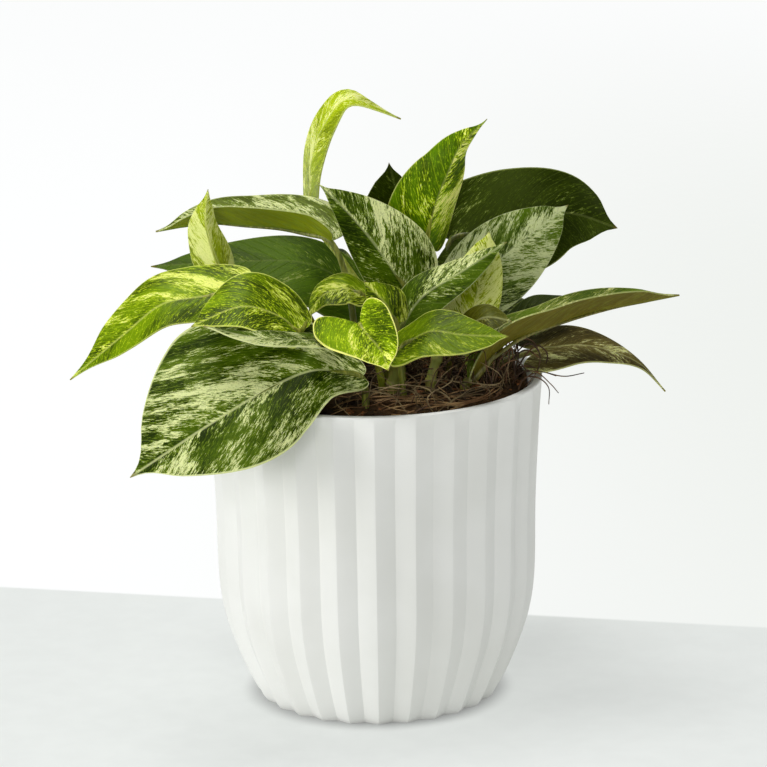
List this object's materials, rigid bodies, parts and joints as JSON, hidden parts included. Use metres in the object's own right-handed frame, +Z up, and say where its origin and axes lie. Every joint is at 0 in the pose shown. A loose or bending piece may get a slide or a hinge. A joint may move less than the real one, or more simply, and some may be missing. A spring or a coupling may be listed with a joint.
{
  "type": "potted golden pothos",
  "caption": "Young golden pothos with cream-marbled heart-shaped leaves on arching stalks, growing in soil in a white ceramic pot with upright ribs.",
  "frame": {"origin": "middle of the pot's flat underside", "axes": "+Z up out of the pot; -Y towards the plant's front, where the largest leaf hangs over the rim"},
  "size_m": [0.2933, 0.2508, 0.2935],
  "materials": {
    "pot": "smooth satin white glaze",
    "soil": "dark fibrous potting mix with fine roots",
    "vine": "smooth olive green stem",
    "leaf_pale": "soft waxy, mostly cream and light yellow green",
    "leaf_bright": "waxy, bright yellow green with pale streaks",
    "leaf_marbled": "waxy, mid green marbled with cream",
    "leaf_dark": "waxy, dark green, nearly plain",
    "leaf_olive": "waxy, olive green to brown in shade"
  },
  "bodies": {
    "root": {"pot": "pot", "soil": "soil", "vine_front": "vine", "vine_right": "vine", "vine_left": "vine", "vine_back": "vine", "leaf_hook": "leaf_pale", "leaf_flag": "leaf_bright", "leaf_shade_mid": "leaf_dark", "leaf_dark_right": "leaf_dark", "leaf_grey_right": "leaf_marbled", "leaf_cream_young": "leaf_pale", "leaf_folded_mid": "leaf_marbled", "leaf_centre_dark": "leaf_marbled", "leaf_top_left": "leaf_marbled", "leaf_shade_left": "leaf_dark", "leaf_spike_left": "leaf_pale", "leaf_drooping_left": "leaf_bright", "leaf_heart_left": "leaf_bright", "leaf_striped_small": "leaf_bright", "leaf_front_heart": "leaf_bright", "leaf_curled_mid": "leaf_bright", "leaf_green_bit": "leaf_bright", "leaf_rim_left": "leaf_marbled", "leaf_big_front": "leaf_marbled", "leaf_front_right": "leaf_bright", "leaf_round_right": "leaf_olive", "leaf_long_right": "leaf_olive", "leaf_dark_wedge": "leaf_dark", "leaf_low_right": "leaf_olive", "leaf_back_left": "leaf_dark", "leaf_back_right": "leaf_marbled", "leaf_back_mid": "leaf_dark", "leaf_back_low_left": "leaf_marbled", "leaf_back_low_right": "leaf_dark"}
  },
  "joints": []
}
